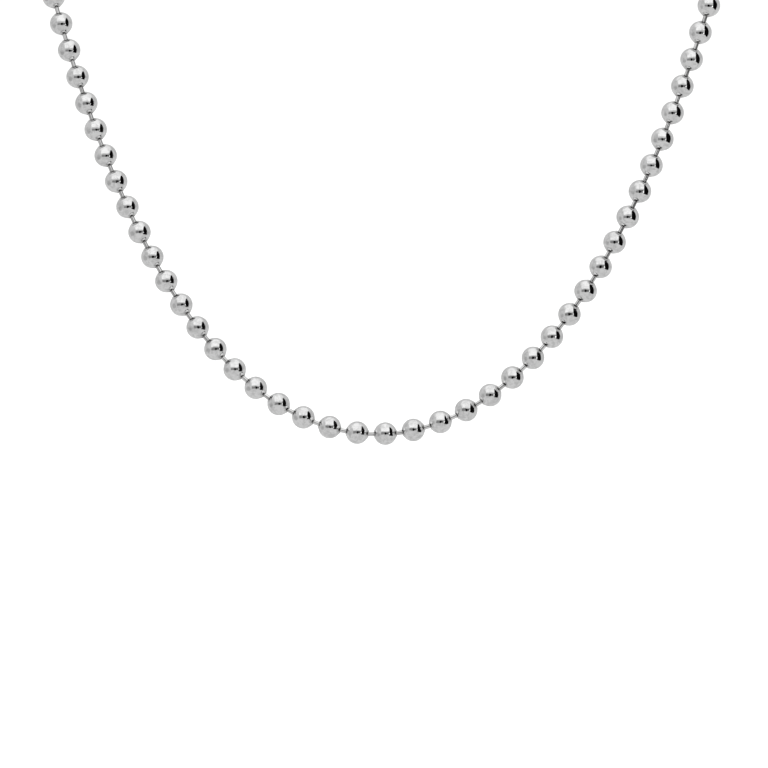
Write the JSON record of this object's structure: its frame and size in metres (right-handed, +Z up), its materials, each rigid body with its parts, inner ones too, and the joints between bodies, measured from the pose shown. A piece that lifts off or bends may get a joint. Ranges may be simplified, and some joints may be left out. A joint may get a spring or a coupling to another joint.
{
  "type": "ball chain necklace",
  "caption": "Worn necklace loop of hollow round metal beads joined by short dumbbell links, closed behind the neck by a plain barrel coupling.",
  "frame": {"origin": "the coupling's side towards the neck, at the nape, where the neck carries the worn loop", "axes": "+Z up, -Y towards the front of the wearer, +X to the right when the front is looked at. The loop is mirrored about X = 0; only the beads are slid 0.72 mm round it, as the picture shows them."},
  "size_m": [0.1118, 0.0982, 0.1251],
  "materials": {
    "polished_silver": "mirror-polished silver with faint handling marks"
  },
  "bodies": {
    "root": {"bead_string": "polished_silver", "link_string": "polished_silver", "coupling_clasp": "polished_silver"}
  },
  "joints": []
}
